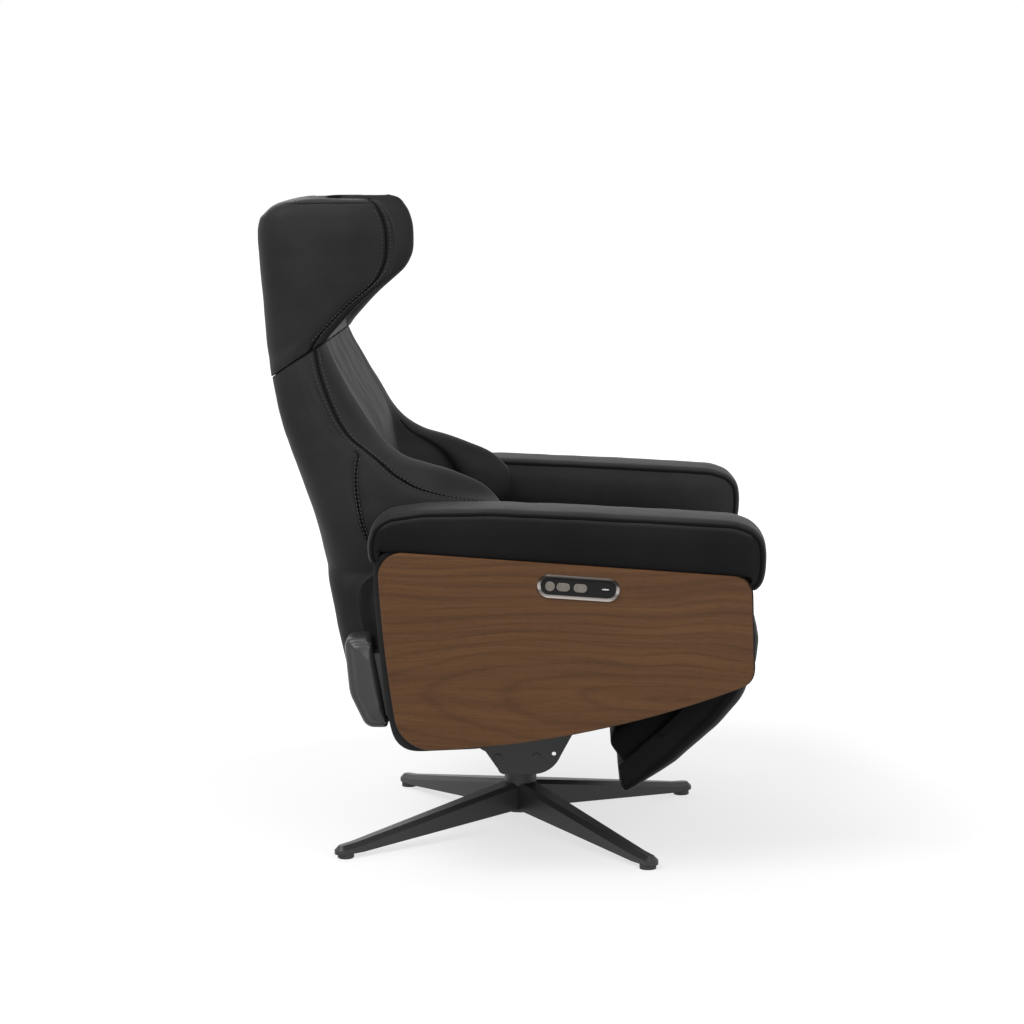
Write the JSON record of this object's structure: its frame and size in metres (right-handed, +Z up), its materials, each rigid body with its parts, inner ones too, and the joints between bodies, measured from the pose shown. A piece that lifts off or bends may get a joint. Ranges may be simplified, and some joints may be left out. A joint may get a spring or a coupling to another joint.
{
  "type": "power recliner",
  "caption": "Power recliner on a swivelling star base, with a winged tilting headrest, reclining back, wooden side panels and a swing-out footrest",
  "frame": {"origin": "on the floor, in the middle of the chair's width and depth, on the swivel axis", "axes": "+Z up, the chair faces -Y, +X is the chair's left"},
  "size_m": [0.83, 0.8286, 1.103],
  "materials": {
    "leather": "charcoal-black smooth matt leather",
    "walnut": "satin walnut veneer",
    "powder_black": "satin black powder coat",
    "glide_plastic": "matt black",
    "bush_bronze": "plain bronze",
    "zinc_steel": "zinc plated",
    "webbing": "woven elastic",
    "chrome": "polished",
    "gloss_black": "gloss black",
    "black_plastic": "satin black, fine grain",
    "white_plastic": "white",
    "button_metal": "brushed grey-bronze",
    "plywood": "raw plywood"
  },
  "bodies": {
    "base": {"star_base": "powder_black", "foot_glides": "glide_plastic", "swivel_bush": "bush_bronze", "hub_plug": "glide_plastic"},
    "seat_unit": {"swivel_spindle": "zinc_steel", "thrust_washer": "bush_bronze", "pedestal_bracket": "powder_black", "bracket_bolts": "powder_black", "front_cross_tube": "powder_black", "rear_cross_tube": "powder_black", "seat_rail_right": "powder_black", "seat_rail_left": "powder_black", "seat_straps": "webbing", "seat_cushion": "leather", "arm_frame_right": "leather", "arm_frame_left": "leather", "side_panel_right": "walnut", "side_panel_left": "walnut", "arm_pad_right": "leather", "arm_pad_left": "leather", "control_bezel": "chrome", "control_plate": "gloss_black", "control_housing": "black_plastic", "usb_port": "white_plastic", "battery_dock": "black_plastic", "battery_pack": "black_plastic", "back_pins": "zinc_steel", "footrest_pins": "zinc_steel", "actuator_tray": "powder_black", "recline_actuator": "black_plastic", "footrest_actuator": "black_plastic"},
    "home_button": {"home_button": "button_metal"},
    "recline_rocker": {"recline_rocker": "button_metal"},
    "footrest_rocker": {"footrest_rocker": "button_metal"},
    "recline_rod": {"recline_rod": "zinc_steel"},
    "footrest_rod": {"footrest_rod": "zinc_steel"},
    "back": {"back_board": "plywood", "back_hinge_plates": "powder_black", "back_lever": "zinc_steel", "back_shell": "leather", "back_cushion": "leather", "bolster_right": "leather", "bolster_left": "leather", "hinge_leaf_lower": "zinc_steel", "hinge_pin": "zinc_steel"},
    "headrest": {"hinge_leaf_upper": "zinc_steel", "headrest_board": "plywood", "headrest_pad": "leather", "wing_right": "leather", "wing_left": "leather"},
    "footrest": {"footrest_board": "plywood", "footrest_cushion": "leather", "footrest_rear_pad": "leather", "footrest_arms": "powder_black", "footrest_lever": "zinc_steel"}
  },
  "joints": [
    {"name": "swivel", "type": "hinge", "parent": "base", "child": "seat_unit", "pos_m": [0, 0, 0.1], "axis": [0, 0, 1], "continuous": true},
    {"name": "recline", "type": "hinge", "parent": "seat_unit", "child": "back", "pos_m": [0, 0.16, 0.33], "axis": [-1, 0, 0], "range_deg": [0, 35]},
    {"name": "headrest_tilt", "type": "hinge", "parent": "back", "child": "headrest", "pos_m": [0, 0.316, 0.86], "axis": [1, 0, 0], "range_deg": [0, 22]},
    {"name": "footrest_swing", "type": "hinge", "parent": "seat_unit", "child": "footrest", "pos_m": [0, -0.371, 0.384], "axis": [-1, 0, 0], "range_deg": [0, 120]},
    {"name": "recline_rod_slide", "type": "slide", "parent": "seat_unit", "child": "recline_rod", "axis": [0, -1, 0], "range_m": [0, 0.04926]},
    {"name": "footrest_rod_slide", "type": "slide", "parent": "seat_unit", "child": "footrest_rod", "axis": [0, -1, 0], "range_m": [0, 0.17341]},
    {"name": "home_press", "type": "slide", "parent": "seat_unit", "child": "home_button", "axis": [1, 0, 0], "range_m": [0, 0.0012], "stiffness_N_per_m": 500},
    {"name": "recline_rock", "type": "hinge", "parent": "seat_unit", "child": "recline_rocker", "pos_m": [-0.4092, -0.08107, 0.4898], "axis": [0, -0.075, 0.9972], "range_deg": [-4, 4], "stiffness_Nm_per_rad": 0.2},
    {"name": "footrest_rock", "type": "hinge", "parent": "seat_unit", "child": "footrest_rocker", "pos_m": [-0.4092, -0.10799, 0.48778], "axis": [0, -0.075, 0.9972], "range_deg": [-4, 4], "stiffness_Nm_per_rad": 0.2}
  ],
  "couplings": [
    {"joint": "recline_rod_slide", "follows": "recline", "m_per_rad": 0.080305},
    {"joint": "footrest_rod_slide", "follows": "footrest_swing", "m_per_rad": 0.082699}
  ]
}
